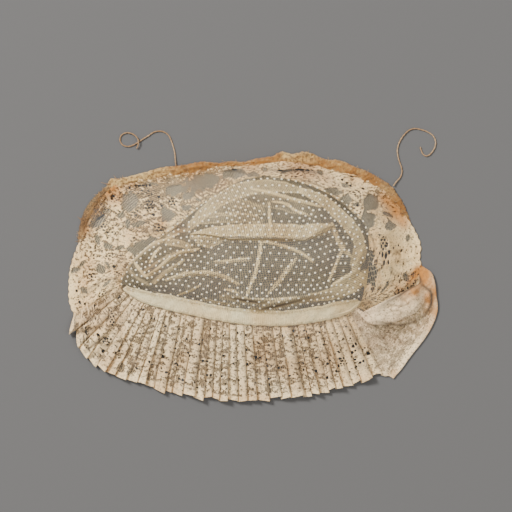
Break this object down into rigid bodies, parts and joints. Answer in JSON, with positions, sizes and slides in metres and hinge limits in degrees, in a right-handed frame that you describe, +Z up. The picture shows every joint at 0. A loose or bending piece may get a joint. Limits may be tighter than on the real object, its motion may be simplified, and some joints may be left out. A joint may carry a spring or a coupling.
{
  "type": "lace cap",
  "caption": "Soft lace cap laid on its open side: spotted net crown, plain band, knife-pleated lace frill, lace sides, muslin ear, rolled back casing with drawstring ends.",
  "frame": {"origin": "on the table under the middle of the cap's box, its drawstring ends left out", "axes": "+X towards the muslin ear, along the cap's width; -Y towards the pleated frill at the front; +Z up through the crown"},
  "size_m": [0.2782, 0.2049, 0.0434],
  "materials": {
    "spotted_net": "soft cotton net with woven spots, ivory, a little grey",
    "tape_band": "plain ivory cotton tape",
    "side_lace": "ivory bobbin lace",
    "frill_lace": "ivory bobbin lace, knife-pleated",
    "muslin": "fine muslin, a little transparent",
    "stained_casing": "rolled cotton hem with brown age stains",
    "thread": "twisted linen thread"
  },
  "bodies": {
    "root": {"crown": "spotted_net", "front_band": "tape_band", "lace_surround": "side_lace", "front_frill": "frill_lace", "muslin_ear": "muslin", "back_casing": "stained_casing", "drawstring_left": "thread", "drawstring_right": "thread"}
  },
  "joints": []
}
